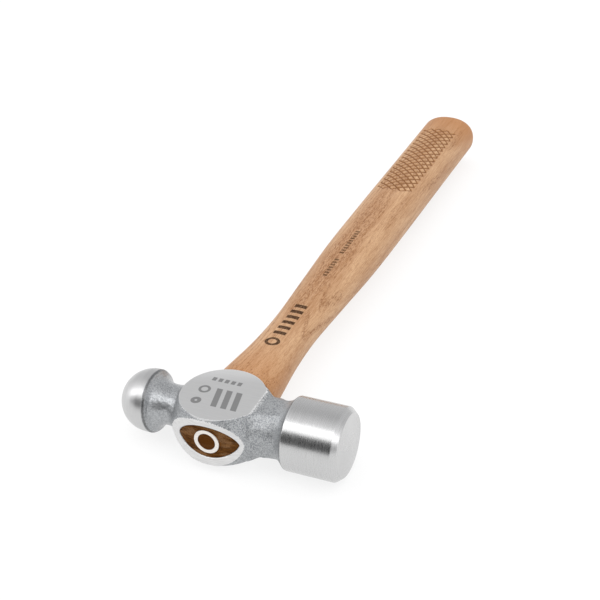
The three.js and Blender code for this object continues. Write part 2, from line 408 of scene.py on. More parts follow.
SMOOTH_ANGLE = math.radians(38)  # edges that bend more than this are sharp
HEAD_SMOOTH_ANGLE = math.radians(32)


def add_object(name, data):
    made = bpy.data.objects.new(name, data)
    bpy.context.scene.collection.objects.link(made)
    return made


def make_object(name, points, faces):
    """A mesh object from points in millimetres about CENTRE."""
    mesh = bpy.data.meshes.new(name)
    placed = np.asarray(points, float) * MM + np.array(CENTRE)
    mesh.from_pydata(placed.tolist(), [], faces)
    mesh.update()
    made = add_object(name, mesh)
    shade(made, SMOOTH_ANGLE)
    return made


def shade(made, smooth_angle):
    mesh = made.data
    mesh.shade_smooth()
    mesh.set_sharp_from_angle(angle=smooth_angle)


def lofted(rings, close_start, close_end):
    """Points and faces of a tube through equal rings, each (count, 3); ends close to a point."""
    rings = [np.asarray(ring, float) for ring in rings]
    count = len(rings[0])
    points = np.concatenate(rings)
    index = np.arange(count)
    following = np.roll(index, -1)
    faces = []
    for k in range(len(rings) - 1):
        low, high = k * count, (k + 1) * count
        quads = np.stack([low + index, low + following, high + following, high + index], 1)
        faces.extend(quads.tolist())
    for closes, ring, turned in ((close_start, 0, True), (close_end, len(rings) - 1, False)):
        if not closes:
            continue
        middle = rings[ring].mean(0)
        points = np.concatenate([points, middle[None]])
        tip = len(points) - 1
        first = ring * count
        pairs = zip(first + index, first + following)
        faces.extend([b, a, tip] if turned else [a, b, tip] for a, b in pairs)
    faces = [[int(i) for i in face] for face in faces]
    return points, faces


def face_outwards(made):
    """Turns the faces so that the closed mesh has a positive volume."""
    mesh = bmesh.new()
    mesh.from_mesh(made.data)
    if mesh.calc_volume(signed=True) < 0:
        bmesh.ops.reverse_faces(mesh, faces=mesh.faces)
    mesh.to_mesh(made.data)
    mesh.free()
    made.data.update()


def set_attribute(made, name, values):
    attribute = made.data.attributes.new(name, "FLOAT", "POINT")
    attribute.data.foreach_set("value", np.asarray(values, np.float32))


def local_points(made):
    """The mesh's points in millimetres about CENTRE."""
    co = np.zeros(len(made.data.vertices) * 3)
    made.data.vertices.foreach_get("co", co)
    return (co.reshape(-1, 3) - np.array(CENTRE)) / MM


def waviness(points, size, seed):
    """Smooth noise from -1 to 1 over points in millimetres, with features of about that size."""
    offset = Vector((seed * 17.3, seed * 5.1, seed * 9.7))
    return np.array([noise.noise(Vector(p) / size + offset) for p in points])


# ---- Head ----

SECTOR_STEPS = 12
CIRCLE = np.linspace(0, 2 * np.pi, 97)[:-1]  # angles round the eye and the wedge


def sector_angles(x):
    """Angles round the head at each x, gathered at the corners of its facets."""
    even = 1 - smoothstep(-25.0, -21.0, x) + smoothstep(24.0, 29.0, x)
    turns = []
    for upper in (True, False):
        side, side_flat, top, top_flat = facet_corners(np.clip(x, -21.0, 24.0), upper)
        turns.append(lerp(np.arctan2(side_flat, side), math.radians(22.5), even))
        turns.append(lerp(np.arctan2(top, top_flat), math.radians(67.5), even))
    first, second, low_first, low_second = turns
    half, full = math.pi, 2 * math.pi
    corners = [-low_first, first, second, half - second, half - first, half + low_first]
    corners += [half + low_second, full - low_second, full - low_first]
    share = (1 - np.cos(np.pi * np.arange(SECTOR_STEPS) / SECTOR_STEPS)) / 2
    share = lerp(share, np.arange(SECTOR_STEPS) / SECTOR_STEPS, 0.35)
    spans = [a[:, None] + (b - a)[:, None] * share for a, b in zip(corners, corners[1:])]
    return np.concatenate(spans, 1)


def head_stations():
    neck = np.arange(BALL_FLARE_X + 0.2, -15.6, 0.25)
    boss = np.arange(-15.6, 14.0, 0.6)
    right = np.arange(14.0, POLL_ROOT_X, 0.35)
    return np.concatenate([BALL_PROFILE[:, 0], neck, boss, right, POLL_PROFILE[:, 0]])


def zones(points):
    """How far inside each differently finished zone a point of the surface is, in mm."""
    x, y, z = points.T
    _, forging, side, cheek = head_radii(x, np.arctan2(z, y))
    from_paint = x - ball_lean(x, z) - PAINT_X
    return {
        "zone_rim": np.minimum(forging, cheek) - side,
        "zone_cheek": np.minimum(forging, side) - cheek,
        "zone_polish": np.maximum(-from_paint, x - POLL_SHOULDER_X),
        "paint_edge": np.minimum(from_paint, PAINT_EDGE - from_paint),
    }


def eye_ring(share, grow, height, angle=CIRCLE):
    """A ring of the eye's blunt pointed oval; height(x) gives its place along the handle."""
    half_length = EYE_HALF_LENGTH * share + grow
    half_width = EYE_HALF_WIDTH * share + grow
    x = half_length * np.cos(angle)
    z = np.sign(np.sin(angle)) * blunt_oval(x, half_length, half_width, EYE_BLUNTNESS)
    return columns(x, height(x), z)


def eye_cutter():
    over = EYE_CHAMFER + 1.0
    rings = []
    for sign in (-1, 1):
        mouth = [
            eye_ring(1, over, lambda x: sign * (CROWN_Y + 3.0)),
            eye_ring(1, over, lambda x: sign * (arch_height(x) + 1.0)),
            eye_ring(1, 0, lambda x: sign * (arch_height(x) - EYE_CHAMFER)),
        ]
        rings.append(mouth if sign < 0 else mouth[::-1])
    middle = [eye_ring(EYE_WAIST, 0, lambda x: 0)]
    points, faces = lofted(rings[0] + middle + rings[1], True, True)
    cutter = make_object("eye_cutter", points, faces)
    face_outwards(cutter)
    return cutter


def make_head():
    x = head_stations()
    angles = sector_angles(x)
    radius = head_radii(x[:, None], angles)[0]
    rings = [columns(xi, r * np.cos(a), r * np.sin(a)) for xi, r, a in zip(x, radius, angles)]
    edge = rings[-1]
    for share in (0.97, 0.86, 0.7, 0.5, 0.3, 0.12):
        rings.append(edge * np.array([1, share, share]))
    points, faces = lofted(rings, True, True)

    # A forging is never quite true: low waves on everything that isn't ground or turned.
    zone = zones(points)
    finished = np.max([zone[k] for k in ("zone_rim", "zone_cheek", "zone_polish")], 0)
    rough = 1 - smoothstep(-1.2, -0.1, finished)
    wave = 0.1 * waviness(points, 6.0, 1) + 0.04 * waviness(points, 2.2, 2)
    scale = 1 + rough * wave / np.maximum(np.hypot(points[:, 1], points[:, 2]), 1)
    points[:, 1] *= scale
    points[:, 2] *= scale
    points[:, 0] += ball_lean(points[:, 0], points[:, 2])

    head = make_object("hammer_head", points, faces)
    face_outwards(head)
    cutter = eye_cutter()
    cut = head.modifiers.new("eye", "BOOLEAN")
    cut.operation, cut.solver, cut.object = "DIFFERENCE", "EXACT", cutter
    bpy.context.view_layer.update()
    graph = bpy.context.evaluated_depsgraph_get()
    bored = bpy.data.meshes.new_from_object(head.evaluated_get(graph))
    head.modifiers.clear()
    head.data = bored
    bpy.data.objects.remove(cutter)
    shade(head, HEAD_SMOOTH_ANGLE)

    for name, values in zones(local_points(head)).items():
        set_attribute(head, name, np.clip(values, -5, 5))
    return head


# ---- Handle ----


def catmull_rom(points, count):
    """Points along the spline that passes evenly through the given ones."""
    points = np.array(points, float)
    padded = np.concatenate([points[:1], points, points[-1:]])
    place = np.linspace(0, len(points) - 1, count)
    i = np.minimum(place.astype(int), len(points) - 2)
    t = (place - i)[:, None]
    a, b, c, d = (padded[i + k] for k in range(4))
    start, end = (c - a) / 2, (d - b) / 2
    return (
        (2 * b - 2 * c + start + end) * t**3
        + (-3 * b + 3 * c - 2 * start - end) * t**2
        + start * t
        + b
    )


GRIP_OUTLINE = catmull_rom(GRIP_HALF_WIDTHS, 400)


def grip_section(y, angle, inset=0.0):
    """Points of the grip's squared oval at y; y may differ from point to point."""
    y = y + 0 * angle
    half_width = np.interp(y, GRIP_OUTLINE[:, 0], GRIP_OUTLINE[:, 1])
    fade = smoothstep(SHOULDER_Y, SHOULDER_BLEND_Y, y)
    thickness = lerp(SHOULDER_THICKNESS, GRIP_THICKNESS, fade)
    cos, sin = np.cos(angle), np.sin(angle)
    power = 2 / GRIP_EXPONENT
    x = (half_width - inset) * np.sign(cos) * np.abs(cos) ** power
    z = (half_width * thickness - inset) * np.sign(sin) * np.abs(sin) ** power
    return np.stack([x, y, z], 1)


def grip_angles():
    """Angles round the grip: close together over the two checkered sides."""
    fine = np.radians(np.linspace(0, 360, 7201))
    ring = grip_section(CHECK_START_Y, fine)
    length = np.concatenate([[0], np.linalg.norm(np.diff(ring, axis=0), axis=1).cumsum()])
    quarter = length[-1] / 4
    sparse, dense = 10, 34
    edge = quarter - CHECK_HALF_WIDTH - 1.0
    first = np.concatenate(
        [np.linspace(0, edge, sparse)[:-1], np.linspace(edge, quarter, dense)[:-1]]
    )
    half = np.concatenate([first, 2 * quarter - first[::-1]])
    half = np.insert(half, len(first), quarter)[:-1]
    places = np.concatenate([half, half + 2 * quarter])
    return np.interp(places, length, fine)


def checkering(points, ring_size):
    """Depth of the cut checkering at each point of the grip's rings, and how dark it is."""
    rings = points.reshape(-1, ring_size, 3)
    step = np.linalg.norm(np.roll(rings, -1, axis=1) - rings, axis=2)
    length = np.concatenate([np.zeros((len(rings), 1)), step.cumsum(1)[:, :-1]], 1)
    quarter = ring_size // 4
    top, bottom = length[:, quarter : quarter + 1], length[:, 3 * quarter : 3 * quarter + 1]
    around = np.where(rings[:, :, 2] >= 0, length - top, length - bottom)
    along = rings[:, :, 1] - CHECK_START_Y

    def distance(value):
        turns = value / CHECK_PITCH
        return np.abs(turns - np.round(turns)) * CHECK_PITCH / math.sqrt(2)

    nearest = np.minimum(distance(along + around), distance(along - around))
    from_side = CHECK_HALF_WIDTH - np.abs(around)
    corner = from_side - CHECK_PITCH + along
    inside = np.minimum.reduce([from_side, along, CHECK_LENGTH - along, corner])
    patch = smoothstep(-0.55, 0.05, inside)
    groove = np.exp(-((nearest / CHECK_GROOVE) ** 2)) * patch
    pillow = 0.1 * (1 - np.clip(nearest / 1.9, 0, 1)) ** 2 * patch
    return (CHECK_DEPTH * groove + pillow).ravel(), groove.ravel()


def grip_rings(angle):
    """The grip from its contact with the head to the butt."""
    contact = np.full(angle.shape, SHOULDER_Y)
    for _ in range(6):
        section = grip_section(contact, angle, SHOULDER_EDGE)
        contact = head_surface_y(section[:, 0], section[:, 2]) + SHOULDER_GAP
    rings = [grip_section(contact, angle, SHOULDER_EDGE)]
    rings.append(grip_section(contact + SHOULDER_EDGE / 3, angle, SHOULDER_EDGE / 3))
    rings.append(grip_section(contact + SHOULDER_EDGE, angle))
    for share in (0.15, 0.35, 0.6, 0.8):
        rings.append(grip_section(lerp(contact + SHOULDER_EDGE, 30.0, share), angle))
    check_end_y = CHECK_START_Y + CHECK_LENGTH
    plain = np.arange(30.0, CHECK_START_Y - 2, 1.6)
    checked = np.arange(CHECK_START_Y - 2, check_end_y + 2, 0.33)
    end = np.arange(check_end_y + 2, BUTT_Y - BUTT_ROUNDING, 1.5)
    for y in np.concatenate([plain, checked, end]):
        rings.append(grip_section(y, angle))
    return rings


def butt_rings(angle):
    rings = []
    for turn in np.radians(np.linspace(0, 90, 12)):
        inset = BUTT_ROUNDING * (1 - math.cos(turn))
        y = BUTT_Y - BUTT_ROUNDING * (1 - math.sin(turn))
        rings.append(grip_section(y, angle, inset))
    edge = rings[-1]
    for share in (0.96, 0.85, 0.7, 0.5, 0.3, 0.12):
        rings.append(edge * np.array([share, 1, share]))
    return rings


def tenon_rings(angle, shoulder):
    """From the shoulder inwards, up through the eye, and over the end to its middle."""
    mouth = eye_ring(1, -TENON_CLEARANCE, lambda x: 0, angle)
    waist = eye_ring(EYE_WAIST, -TENON_CLEARANCE, lambda x: 0, angle)
    rings = []
    for share in (0.25, 0.5, 0.75, 1.0):
        x, z = lerp(shoulder[:, 0], mouth[:, 0], share), lerp(shoulder[:, 2], mouth[:, 2], share)
        rings.append(columns(x, head_surface_y(x, z) + SHOULDER_GAP, z))
    for share in (0.5, 0.0, -0.5):
        section = lerp(waist, mouth, abs(share)) * np.array([1, 0, 1])
        rings.append(section + np.array([0, share * CROWN_Y, 0]))

    def end_height(x, drop=0.0):
        return -(arch_height(x) - TENON_RECESS - drop)

    rings.append(columns(mouth[:, 0], end_height(mouth[:, 0], 0.25), mouth[:, 2]))
    slot_radius = WEDGE_RADIUS + SLOT_CLEARANCE
    core_radius = WEDGE_INNER_RADIUS - SLOT_CLEARANCE
    polar = np.arctan2(mouth[:, 2], mouth[:, 0])
    circle = columns(np.cos(polar), np.sin(polar))
    for share in (0.03, 0.12, 0.35, 0.65, 0.9, 1.0):
        x = lerp(mouth[:, 0], slot_radius * circle[:, 0], share)
        z = lerp(mouth[:, 2], slot_radius * circle[:, 1], share)
        rings.append(columns(x, end_height(x), z))
    depth = WEDGE_TOP_Y + WEDGE_LENGTH + SLOT_CLEARANCE
    tip_radius = WEDGE_TIP_RADIUS + SLOT_CLEARANCE
    for radius in (tip_radius, core_radius):
        ring = radius * circle
        rings.append(columns(ring[:, 0], depth, ring[:, 1]))
    for share in (1.0, 0.75, 0.5, 0.25):
        ring = core_radius * share * circle
        rings.append(columns(ring[:, 0], end_height(ring[:, 0]), ring[:, 1]))
    return rings


def make_handle():
    angle = grip_angles()
    count = len(angle)
    grip = grip_rings(angle)
    butt = butt_rings(angle)
    tenon = tenon_rings(angle, grip[0])
    rings = tenon[::-1] + grip + butt
    points, faces = lofted(rings, True, True)

    first, last = len(tenon) * count, (len(tenon) + len(grip)) * count
    depth, dark = checkering(points[first:last], count)
    middle = points[first:last] * np.array([0, 1, 0])
    outward = points[first:last] - middle
    outward[:, 2] /= GRIP_THICKNESS**2
    outward /= np.linalg.norm(outward, axis=1, keepdims=True)
    points[first:last] -= outward * depth[:, None]
    groove = np.zeros(len(points))
    groove[first:last] = dark

    handle = make_object("handle_hickory", points, faces)
    face_outwards(handle)
    set_attribute(handle, "groove", groove)
    return handle


# ---- Round wedge ----


def make_wedge():
    top, middle, tip = WEDGE_TOP_Y, WEDGE_TOP_Y + WEDGE_LENGTH / 2, WEDGE_TOP_Y + WEDGE_LENGTH
    inner, outer, bevel = WEDGE_INNER_RADIUS, WEDGE_RADIUS, WEDGE_BEVEL
    taper = (outer - WEDGE_TIP_RADIUS) / WEDGE_LENGTH
    outline = [
        (inner, tip),
        (inner, middle),
        (inner, top + 2 * bevel),
        (inner, top + bevel),
        (inner + bevel * 0.3, top + bevel * 0.3),
        (inner + bevel, top),
        (inner + 0.7, top),
        (outer - 0.7, top),
        (outer - bevel, top),
        (outer - bevel * 0.3, top + bevel * 0.3),
        (outer, top + bevel),
        (outer - taper * 2, top + 2),
        (outer - taper * WEDGE_LENGTH / 2, middle),
        (WEDGE_TIP_RADIUS, tip),
    ]
    rings = [columns(r * np.cos(CIRCLE), y, r * np.sin(CIRCLE)) for r, y in outline]
    points, faces = lofted(rings + rings[:1], False, False)
    points = points[: -len(CIRCLE)]
    size = len(points)
    faces = [[i % size for i in face] for face in faces]
    wedge = make_object("ring_wedge_steel", points, faces)
    face_outwards(wedge)
    return wedge


# ---- Materials ----


def operation(name):
    return lambda value, *others: value.nodes.math(name, value, *others)


class Value:
    """A shader socket that can stand in sums; | gives the larger of two."""

    def __init__(self, nodes, socket):
        self.nodes, self.socket = nodes, socket

    def __rsub__(self, other):
        return self.nodes.math("SUBTRACT", other, self)

    __add__, __sub__ = operation("ADD"), operation("SUBTRACT")
    __mul__, __truediv__ = operation("MULTIPLY"), operation("DIVIDE")
    __pow__, __or__ = operation("POWER"), operation("MAXIMUM")
    __abs__ = operation("ABSOLUTE")


class Nodes:
    """The node tree of a material or a world, started afresh."""

    def __init__(self, owner):
        owner.use_nodes = True
        self.tree = owner.node_tree
        self.tree.nodes.clear()

    def node(self, kind, inputs=None, **settings):
        made = self.tree.nodes.new("ShaderNode" + kind)
        for key, value in settings.items():
            setattr(made, key, value)
        for key, value in (inputs or {}).items():
            self.feed(made.inputs[key], value)
        return made

    def feed(self, socket, value):
        if isinstance(value, Value):
            self.tree.links.new(value.socket, socket)
        else:
            socket.default_value = value

    def value(self, kind, inputs=None, output=0, **settings):
        """One output of a new node."""
        return Value(self, self.node(kind, inputs, **settings).outputs[output])

    def math(self, operation, *values):
        return self.value("Math", dict(enumerate(values)), operation=operation)

    def axes(self, place):
        return [Value(self, axis) for axis in self.node("SeparateXYZ", {0: place}).outputs]

    def distance(self, a, b):
        return self.math("SQRT", a**2 + b**2)


class Surface(Nodes):
    """A material painted by its place, in millimetres about CENTRE."""

    def __init__(self, name):
        self.material = bpy.data.materials.new(name)
        super().__init__(self.material)
        self.shader = self.node("BsdfPrincipled")
        self.node("OutputMaterial", {"Surface": Value(self, self.shader.outputs[0])})
        place = self.value("TexCoord", output="Object")
        inputs = {"Vector": place, "Location": -CENTRE / MM, "Scale": (1 / MM,) * 3}
        self.place = self.value("Mapping", inputs)

    def noise(self, scale, detail=2, roughness=0.5, distortion=0.0, place=None):
        inputs = {
            "Vector": place or self.place,
            "Scale": scale,
            "Detail": detail,
            "Roughness": roughness,
            "Distortion": distortion,
        }
        return self.value("TexNoise", inputs, "Fac")

    def grain(self, scale, detail=2, roughness=0.6, distortion=0.0, turn=(0,) * 3, shift=(0,) * 3):
        """Noise with its own scale along each axis, as features per millimetre."""
        inputs = {"Vector": self.place, "Location": shift, "Rotation": turn, "Scale": scale}
        return self.noise(1.0, detail, roughness, distortion, self.value("Mapping", inputs))

    def ramp(self, value, low, high, to_low=0.0, to_high=1.0):
        """Goes smoothly from to_low to to_high while value goes from low to high."""
        inputs = {
            "Value": value,
            "From Min": low,
            "From Max": high,
            "To Min": to_low,
            "To Max": to_high,
        }
        return self.value("MapRange", inputs, interpolation_type="SMOOTHSTEP")

    # The Mix node takes numbers at its sockets 2 and 3, and colours at 6 and 7.
    def mix(self, share, a, b):
        """A colour between a and b."""
        return self.value("Mix", {0: share, 6: a, 7: b}, 2, data_type="RGBA")

    def blend(self, share, a, b):
        """A number between a and b."""
        return self.value("Mix", {0: share, 2: a, 3: b}, data_type="FLOAT")

    def attribute(self, name):
        return self.value("Attribute", output="Fac", attribute_name=name)

    def bump(self, height, depth, normal=None):
        """Raises the surface by depth millimetres where height goes from 0 to 1."""
        inputs = {"Strength": 1.0, "Distance": depth * MM, "Height": height}
        if normal:
            inputs["Normal"] = normal
        return self.value("Bump", inputs)

    def finish(self, **sockets):
        for key, value in sockets.items():
            self.feed(self.shader.inputs[key.replace("_", " ")], value)
        return self.material


def grey(value, warmth=0.0):
    return (value * (1 + warmth), value, value * (1 - warmth), 1.0)


def boxes_mask(surface, boxes, across, along, soft=0.1):
    """1 inside any of the boxes (centre across, centre along, width across, length along)."""
    total = None
    for centre_a, centre_b, size_a, size_b in boxes:
        gap = (abs(across - centre_a) - size_a / 2) | (abs(along - centre_b) - size_b / 2)
        inside = surface.ramp(gap, soft, -soft)
        total = total | inside if total else inside
    return total


def ring_mask(surface, centre, radii, across, along, soft=0.1):
    """1 within the ring between the two radii."""
    radius = surface.distance(across - centre[0], along - centre[1])
    middle, half = (radii[0] + radii[1]) / 2, (radii[1] - radii[0]) / 2
    return surface.ramp(abs(radius - middle), half + soft, half - soft)


PAINT_DARK = (0.23, 0.24, 0.25, 1)
PAINT_LIGHT = (0.47, 0.48, 0.49, 1)
PAINT_PALE = (0.46, 0.47, 0.48, 1)
PAINT_RELIEF = 0.17
TURNING_RELIEF = 0.0012
GRINDING_RELIEF = 0.01
# Colour of bare worn steel, also used for painted highlights on the head's edges
WORN_STEEL_AND_HIGHLIGHT = grey(0.85)

# Marks on the upper cheek, in millimetres, in place of lettering
CHEEK_BARS = [(centre, -3.2, 2.7, 12.6) for centre in (-2.6, 2.0, 6.6)]
CHEEK_BAR_SLANT = 0.22
CHEEK_DASHES = [(-8.9 + 3.0 * k, 8.9, 1.9, 2.5) for k in range(5)]
CHEEK_RINGS = [((-9.6, 0.7), (1.5, 2.7)), ((-9.4, -7.8), (0.6, 2.3))]


def head_material():
    surface = Surface("painted_forging")
    mix, blend, ramp, grain = surface.mix, surface.blend, surface.ramp, surface.grain
    x, y, z = surface.axes(surface.place)
    in_cheek, in_rim = surface.attribute("zone_cheek"), surface.attribute("zone_rim")

    # Silver-grey paint over the forging, with a fine glittering stipple
    stipple = surface.noise(1.9, 1, 0.6)
    fine = surface.noise(5.0, 1, 0.6)
    pebble = surface.noise(1.1)
    blotch = surface.noise(0.16)
    colour = mix(ramp(stipple, 0.38, 0.62), PAINT_DARK, PAINT_LIGHT)
    colour = mix(ramp(blotch, 0.35, 0.7, 0.0, 0.35), colour, PAINT_PALE)
    relief = stipple + pebble * 0.25 + fine * 0.25

    # The ball's neck is smoother and glossier, and shows the lines of its turning
    neck = ramp(x, -18.5, -21.5)
    lathe = grain((3.0, 0.03, 0.03))
    flow = grain((0.25, 1.1, 1.1))
    relief = blend(neck, relief, relief * 0.3 + lathe * 0.7 + flow * 0.8)
    rough = blend(neck, blend(stipple, 0.34, 0.52), 0.28)
    metal = blend(neck, 0.75, 0.8)
    colour = mix(neck * 0.2, colour, PAINT_LIGHT)

    # Ground cheeks, with painted light making them lighter on the handle's side
    cheek = ramp(in_cheek, -0.04, 0.05)
    scratch = grain((0.12, 3.2, 0.12), turn=(0, 0, 0.5))
    ground = mix(scratch, grey(0.46), grey(0.55))
    # Painted light: the ground steel turns paler towards the handle's side and the far end
    far_side_painted_light = ramp(y - x * 0.3, 8.0, 19.0)
    ground = mix(far_side_painted_light * 0.5, ground, grey(0.72))
    colour = mix(cheek, colour, ground)
    rough = blend(cheek, rough, 0.42)
    metal = blend(cheek, metal, 0.6)

    # Ground rim round the eye
    rim = ramp(in_rim, -0.04, 0.06)
    grind = grain((0.2, 1.0, 4.0))
    ground = mix(ramp(grind, 0.3, 0.7), grey(0.62, 0.005), grey(0.76, 0.005))
    colour = mix(rim, colour, ground)
    rough = blend(rim, rough, ramp(grind, 0.2, 0.8, 0.34, 0.46))
    metal = blend(rim, metal, 0.7)

    # Bright edges where the grinding stops: bare worn steel, with a painted highlight along them
    worn = ramp(abs(in_cheek), 0.28, 0.05) | ramp(abs(in_rim), 0.22, 0.05)
    worn = worn * ramp(stipple, 0.35, 0.6)
    colour = mix(worn * 0.8, colour, WORN_STEEL_AND_HIGHLIGHT)

    # The narrow strip that is left between cheek and rim gets a painted highlight, in the colour of
    # worn steel
    painted_strip_highlight = ramp(in_cheek + in_rim, -2.0, -0.9) * ramp(x, -9.0, -3.0)
    painted_strip_highlight = painted_strip_highlight * (1.0 - (cheek | rim))
    colour = mix(painted_strip_highlight * 0.75, colour, WORN_STEEL_AND_HIGHLIGHT)

    # Polished poll and ball: fine lines left by turning, all round the axis
    wobble = (pebble - 0.5) * 0.4
    polish = ramp(surface.attribute("zone_polish") + wobble, -0.05, 0.08)
    turning = grain((7.0, 0.05, 0.05), 3, 0.65)
    streak = grain((1.6, 0.16, 0.16), 2, 0.5)
    bright = mix(ramp(turning, 0.25, 0.75), grey(0.53), grey(0.6))
    colour = mix(polish, colour, bright)
    turned = ramp(turning, 0.2, 0.8, 0.24, 0.29)
    turned = turned + ramp(streak, 0.3, 0.7, -0.01, 0.02)
    satin = ramp(x, -20.0, -25.0, 0.0, 0.08)
    rough = blend(polish, rough, turned + satin)
    metal = blend(polish, metal, 1.0)

    # Painted shade: a dark band along the paint's edge behind the ball, where its back falls
    # steeply away, and along the concave fillet at the poll's shoulder
    edge = ramp(surface.attribute("paint_edge") + wobble, -0.12, 0.3)
    shoulder = ramp(x, POLL_SHOULDER_X - 1.6, POLL_SHOULDER_X - 0.2)
    shoulder = shoulder * (1.0 - polish)
    painted_shade = edge | (shoulder * 0.6)
    colour = mix(painted_shade * 0.75, colour, grey(0.1))

    # Etched marks on the upper cheek
    slanted = x + y * CHEEK_BAR_SLANT
    marks = boxes_mask(surface, CHEEK_BARS, slanted, y) | boxes_mask(surface, CHEEK_DASHES, x, y)
    for centre, radii in CHEEK_RINGS:
        marks = marks | ring_mask(surface, centre, radii, x, y)
    etched = marks * ramp(z, CHEEK_Z - 0.3, CHEEK_Z - 0.15) * cheek
    colour = mix(etched * 0.75, colour, grey(0.14))
    rough = blend(etched, rough, 0.6)

    painted = 1.0 - (cheek | rim | polish)
    normal = surface.bump(relief * painted, PAINT_RELIEF)
    normal = surface.bump(turning * polish, TURNING_RELIEF, normal)
    normal = surface.bump(scratch * (cheek | rim), GRINDING_RELIEF, normal)
    return surface.finish(Base_Color=colour, Roughness=rough, Metallic=metal, Normal=normal)


WOOD_PALE, WOOD_TAN = (0.57, 0.35, 0.195, 1), (0.4, 0.21, 0.1, 1)
WOOD_EARLY, WOOD_FIGURE = (0.37, 0.185, 0.082, 1), (0.33, 0.15, 0.06, 1)
WOOD_FIBRE_PALE, WOOD_FIBRE_DARK = (0.64, 0.415, 0.25, 1), (0.32, 0.15, 0.062, 1)
WOOD_FINE, WOOD_FLECK = (0.32, 0.145, 0.058, 1), (0.2, 0.075, 0.024, 1)
WOOD_DEEP, WOOD_PORE = (0.42, 0.185, 0.066, 1), (0.17, 0.06, 0.02, 1)
WOOD_GROOVE_DARK, WOOD_BURNT = (0.19, 0.078, 0.026, 1), (0.03, 0.012, 0.005, 1)
WOOD_RELIEF = 0.05
GROWTH_RING = 3.4  # from one growth ring to the next

# Marks on the handle, in place of lettering
HANDLE_BLOCKS = [(0.4, 56.6 + 5.0 * k, 6.2, 2.6) for k in range(6)]
HANDLE_DASHES = [(0.5, 112.0 + 2.6 * k, 2.3, 1.6) for k in range(7)]
HANDLE_DASHES += [(0.5, 135.0 + 2.6 * k, 2.3, 1.6) for k in range(10)]
HANDLE_RING = ((0.4, 48.3), (2.0, 3.6))
BURN_SOFTNESS = 0.12


def wood_layers(surface, x, y, z):
    """Colour and relief of the hickory's grain, before any stain."""
    mix, ramp, grain = surface.mix, surface.ramp, surface.grain
    # Growth rings round a pith beside the handle: porous early wood, then smooth late wood
    sway = grain((0.06, 0.007, 0.06), 2, 0.5)
    distance = surface.distance(x + 46.0, z + 21.0) + (sway - 0.5) * 22.0 + y * 0.012
    wave = surface.math("SINE", distance * (2 * math.pi / GROWTH_RING))
    early = ramp(wave, -0.1, 0.9)

    # A darker, closely flecked figure along part of the upper side
    spread = ((x + 1.0) / 9.0) ** 2 + ((y - 140.0) / 78.0) ** 2
    ragged = grain((0.2, 0.02, 0.2), 3, 0.6, shift=(5, 2, 1))
    figure = ramp(spread + ragged * 2.0, 2.1, 1.1) * ramp(z, 2.0, 9.0)

    tone = grain((0.13, 0.011, 0.13), 3, 0.55, 0.6)
    fibre = grain((2.8, 0.08, 2.8), 3, 0.7)
    fine = grain((7.0, 0.35, 7.0))
    flecks = grain((1.9, 0.36, 1.9), 2, 0.65)
    where = grain((0.14, 0.016, 0.14), 2, 0.5, shift=(3, 1, 7))
    where = (ramp(where, 0.38, 0.62, 0.1, 0.8) * early) | (figure * 0.85)
    fleck = ramp(flecks, 0.47, 0.6) * where

    colour = mix(ramp(tone, 0.3, 0.68), WOOD_PALE, WOOD_TAN)
    for share, tint in (
        (early * 0.35, WOOD_EARLY),
        (figure * 0.25, WOOD_FIGURE),
        (ramp(fibre, 0.36, 0.7, 0.0, 0.5), WOOD_FIBRE_PALE),
        (ramp(fibre, 0.52, 0.28, 0.0, 0.6), WOOD_FIBRE_DARK),
        (ramp(fine, 0.48, 0.7, 0.0, 0.6), WOOD_FINE),
        (fleck * 0.8, WOOD_FLECK),
    ):
        colour = mix(share, colour, tint)
    return colour, fibre - fleck * 0.5


def handle_material():
    surface = Surface("lacquered_hickory")
    mix, blend, ramp = surface.mix, surface.blend, surface.ramp
    x, y, z = surface.axes(surface.place)
    colour, relief = wood_layers(surface, x, y, z)

    # Deeper colour towards the head and at the butt, with open pores at the shoulder
    pores = surface.grain((1.3, 0.8, 1.3), 1, 0.5)
    pores = ramp(pores, 0.62, 0.7) * ramp(y, 34.0, 20.0)
    deep = (ramp(y, 56.0, 16.0) * 0.5) | (ramp(y, 285.0, 322.0) * 0.7)
    colour = mix(deep, colour, WOOD_DEEP)
    colour = mix(pores * 0.7, colour, WOOD_PORE)

    # Checkering: darker in the grooves
    groove = surface.attribute("groove")
    colour = mix(ramp(groove, 0.1, 0.8, 0.0, 0.85), colour, WOOD_GROOVE_DARK)

    # Burnt marks on the upper side, unevenly worn
    marks = boxes_mask(surface, HANDLE_BLOCKS, x, y, BURN_SOFTNESS)
    marks = marks | ring_mask(surface, *HANDLE_RING, x, y, BURN_SOFTNESS)
    marks = marks | (boxes_mask(surface, HANDLE_DASHES, x, y, BURN_SOFTNESS) * 0.75)
    worn = ramp(surface.noise(1.2, 3, 0.6), 0.3, 0.6, 0.7, 1.0)
    burnt = marks * worn * ramp(z, 2.0, 4.0)
    colour = mix(burnt * 0.95, colour, WOOD_BURNT)

    dull = groove | burnt
    rough = blend(dull, ramp(relief, 0.2, 0.8, 0.5, 0.4), 0.75)
    gloss = blend(dull, 0.22, 0.1)
    normal = surface.bump(relief - burnt * 0.8, WOOD_RELIEF)
    return surface.finish(
        Base_Color=colour, Roughness=rough, Normal=normal, IOR=1.45, Specular_IOR_Level=gloss
    )


END_GRAIN_DARK, END_GRAIN_CORE = (0.05, 0.017, 0.003, 1), (0.082, 0.024, 0.001, 1)
END_GRAIN_BROWN, END_GRAIN_PALE = (0.165, 0.066, 0.015, 1), (0.28, 0.155, 0.075, 1)
END_GRAIN_RELIEF = 0.08


